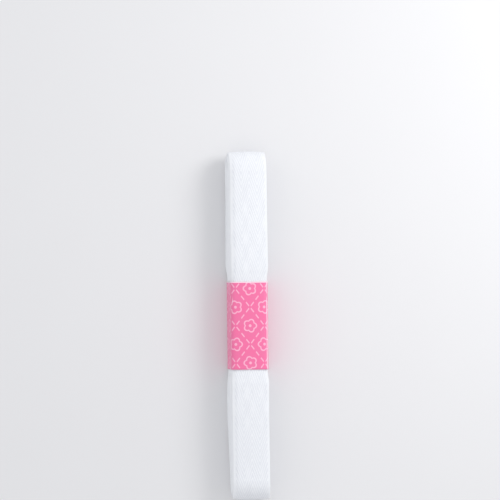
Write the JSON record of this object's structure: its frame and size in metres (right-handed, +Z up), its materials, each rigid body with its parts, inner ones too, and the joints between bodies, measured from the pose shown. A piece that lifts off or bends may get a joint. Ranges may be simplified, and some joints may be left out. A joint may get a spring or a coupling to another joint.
{
  "type": "roll of twill tape",
  "caption": "Narrow white cotton twill tape wound flat into a long hank with rounded ends, held at the middle by a paper band.",
  "frame": {"origin": "on the surface that the hank lies on, under the middle of the paper band", "axes": "+Y along the hank's long axis, +X across the tape's width, +Z up through the thickness of the stack"},
  "size_m": [0.0143, 0.117, 0.0132],
  "materials": {
    "cotton_tape": "matte herringbone twill weave with plain edges",
    "printed_paper": "smooth printed paper, pale marks on pink"
  },
  "bodies": {
    "root": {"tape_roll": "cotton_tape", "paper_band": "printed_paper"}
  },
  "joints": []
}
